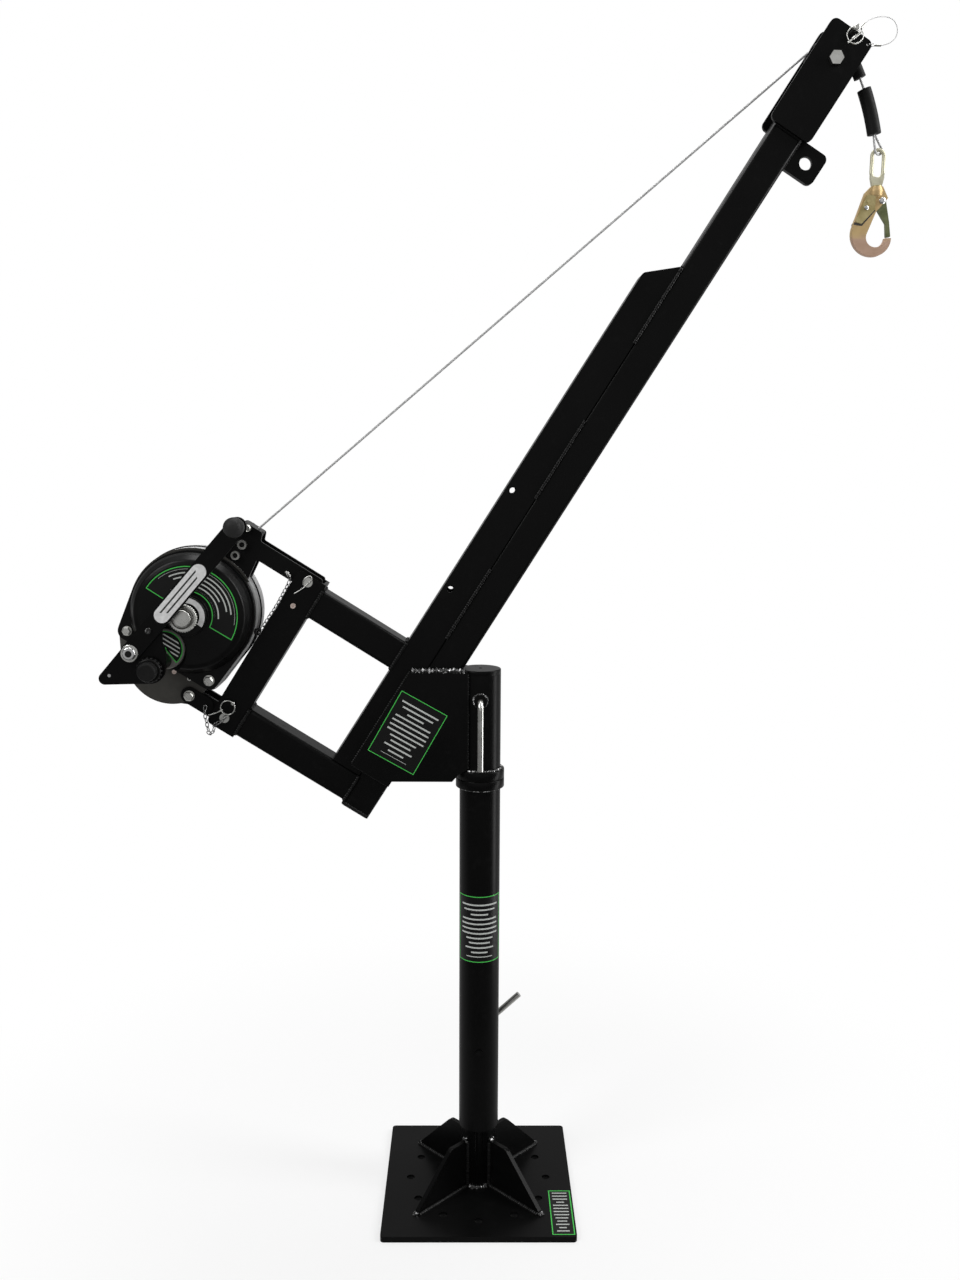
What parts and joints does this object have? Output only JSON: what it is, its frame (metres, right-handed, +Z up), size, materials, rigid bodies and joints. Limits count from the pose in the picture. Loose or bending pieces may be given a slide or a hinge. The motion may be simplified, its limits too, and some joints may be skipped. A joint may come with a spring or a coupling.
{
  "type": "fall protection davit",
  "caption": "Free-standing fall protection davit: a swivelling square-tube boom on a post and base plate, with a hand winch, wire rope and snap hook.",
  "frame": {"origin": "on the post axis at the underside of the base plate", "axes": "+Z up the post, +X towards the boom tip, -Y the front, where the crank is"},
  "size_m": [1.5449, 0.4064, 2.4143],
  "materials": {
    "black_coat": "satin black powder coat",
    "bright_steel": "zinc plated",
    "chrome_bolt": "polished",
    "rope_steel": "stranded wire",
    "cast_aluminium": "cast, bare",
    "gear_grey": "painted casting",
    "black_cover": "moulded",
    "grip_plastic": "moulded",
    "black_rubber": "moulded",
    "gold_zinc": "yellow zinc",
    "olive_zinc": "olive zinc"
  },
  "bodies": {
    "mast": {"base_plate": "black_coat", "stub_post": "black_coat", "gusset_rear_right": "black_coat", "gusset_rear_left": "black_coat", "gusset_front_left": "black_coat", "gusset_front_right": "black_coat", "post": "black_coat", "post_collar": "black_coat", "swivel_spindle": "bright_steel", "post_pin": "bright_steel"},
    "boom": {"boom_sleeve": "black_coat", "sleeve_collar": "black_coat", "sleeve_cap": "black_coat", "sleeve_pin_boss": "black_coat", "boom_tube": "black_coat", "boom_foot_cap": "black_coat", "boom_stiffener": "black_coat", "knee_plate_front": "black_coat", "knee_plate_back": "black_coat", "frame_bar_upper": "black_coat", "frame_bar_lower": "black_coat", "frame_channel": "black_coat", "fork_plate_front": "black_coat", "fork_plate_back": "black_coat", "anchor_eye": "black_coat", "winch_arm_upper_front": "black_coat", "winch_arm_upper_back": "black_coat", "winch_arm_lower_front": "black_coat", "winch_arm_lower_back": "black_coat", "rope_guide": "black_coat", "sleeve_pin": "bright_steel", "sheave_axle": "bright_steel", "keeper_pin": "bright_steel", "keeper_ring": "bright_steel", "lanyard_end": "bright_steel", "mount_pin_upper": "bright_steel", "mount_pin_lower": "bright_steel", "engage_dial": "bright_steel", "wire_rope": "rope_steel", "rope_eye": "rope_steel", "pin_lanyard": "rope_steel", "winch_housing_rear": "cast_aluminium", "winch_housing_front": "cast_aluminium", "gear_case": "gear_grey", "winch_cover": "black_cover", "sheave": "black_cover", "winch_gasket": "black_rubber", "rope_bumper": "black_rubber", "rope_end_sleeve": "black_rubber", "swivel_link": "gold_zinc"},
    "crank": {"crank_bracket": "black_coat", "crank_hub": "black_cover", "crank_pivot_bolt": "chrome_bolt"},
    "handle": {"crank_arm": "black_coat"},
    "grip": {"crank_grip": "grip_plastic"},
    "hook": {"hook_body": "gold_zinc", "hook_lock": "gold_zinc", "gate_rivet": "bright_steel"},
    "gate": {"hook_gate": "olive_zinc"}
  },
  "joints": [
    {"name": "boom_swivel", "type": "hinge", "parent": "mast", "child": "boom", "pos_m": [0, 0, 0.9335], "axis": [0, 0, 1], "continuous": true},
    {"name": "crank_turn", "type": "hinge", "parent": "boom", "child": "crank", "pos_m": [-0.64348, 0, 1.18616], "axis": [0, -1, 0], "continuous": true},
    {"name": "handle_fold", "type": "hinge", "parent": "crank", "child": "handle", "pos_m": [-0.68074, 0, 1.21898], "axis": [0, -1, 0], "range_deg": [0, 180]},
    {"name": "grip_spin", "type": "hinge", "parent": "handle", "child": "grip", "pos_m": [-0.46644, -0.15065, 1.46464], "axis": [0, -1, 0], "continuous": true},
    {"name": "hook_swivel", "type": "hinge", "parent": "boom", "child": "hook", "pos_m": [0.76799, 0, 2.121], "axis": [0, 0, 1], "continuous": true},
    {"name": "hook_gate", "type": "hinge", "parent": "hook", "child": "gate", "pos_m": [0.77849, 0, 2.094], "axis": [0, 1, 0], "range_deg": [0, 26], "stiffness_Nm_per_rad": 0.06, "springref_deg": -20.05}
  ]
}
